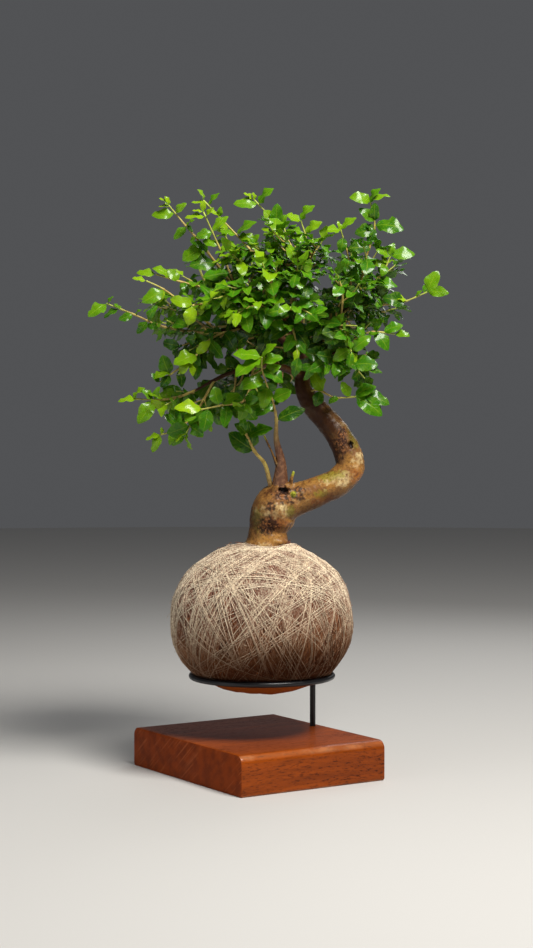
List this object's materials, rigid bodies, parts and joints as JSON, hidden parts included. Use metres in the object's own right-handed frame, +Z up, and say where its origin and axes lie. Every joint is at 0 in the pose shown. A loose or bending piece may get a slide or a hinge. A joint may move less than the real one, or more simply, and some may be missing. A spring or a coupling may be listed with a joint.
{
  "type": "kokedama moss ball plant",
  "caption": "Small bonsai tree with glossy oval leaves growing from a thread-wound moss ball, held in a metal ring above a hardwood block.",
  "frame": {"origin": "middle of the base block's underside", "axes": "+Z up; +X along the block's grain, towards the side that the rod stands at; +Y along its rounded long edges, away from the viewer"},
  "size_m": [0.2318, 0.1892, 0.4211],
  "materials": {
    "hardwood": "satin",
    "black_steel": "satin",
    "thread": "matte",
    "moss_fibre": "matte",
    "soil": "matte",
    "bark": "matte",
    "leaf": "satin"
  },
  "bodies": {
    "root": {"base_block": "hardwood", "stand_rod": "black_steel", "support_ring": "black_steel", "thread_winding": "thread", "moss_wrap": "moss_fibre", "soil_ball": "soil", "trunk": "bark", "shoot_front_sprout": "leaf", "shoot_left_sprout": "leaf", "shoot_upper_left_long": "leaf", "shoot_upper_left_twin": "leaf", "shoot_upper_left_inner": "leaf", "shoot_top_left": "leaf", "shoot_top_middle": "leaf", "shoot_top_right": "leaf", "shoot_right_pair": "leaf", "shoot_right_arm": "leaf", "shoot_right_row": "leaf", "shoot_right_star": "leaf", "shoot_right_low": "leaf", "shoot_fork": "leaf", "shoot_left_arm": "leaf", "shoot_left_middle": "leaf", "shoot_left_low": "leaf", "shoot_left_bright": "leaf", "shoot_low_left_tail": "leaf", "shoot_low_left_hang": "leaf", "shoot_left_side": "leaf", "shoot_left_front": "leaf", "shoot_low_middle": "leaf", "shoot_centre_hang": "leaf", "shoot_centre_right": "leaf", "shoot_centre_face": "leaf", "shoot_centre_left": "leaf", "shoot_centre_far_left": "leaf", "shoot_crown_left": "leaf", "shoot_crown_middle": "leaf", "shoot_crown_right": "leaf", "shoot_crown_low_right": "leaf", "shoot_crown_low_left": "leaf", "shoot_crown_low_middle": "leaf", "shoot_crown_far_left": "leaf", "shoot_right_top_inner": "leaf", "shoot_right_face": "leaf", "shoot_right_middle": "leaf", "shoot_low_right_front": "leaf", "shoot_back_top": "leaf", "shoot_back_middle": "leaf", "shoot_back_low": "leaf", "shoot_back_left_top": "leaf", "shoot_back_left_middle": "leaf", "shoot_back_left_low": "leaf", "shoot_back_right_top": "leaf", "shoot_back_right_middle": "leaf", "shoot_back_right_low": "leaf", "shoot_back_crown": "leaf", "shoot_back_crown_left": "leaf", "shoot_back_tail": "leaf", "shoot_side_left": "leaf", "shoot_side_right": "leaf"}
  },
  "joints": []
}
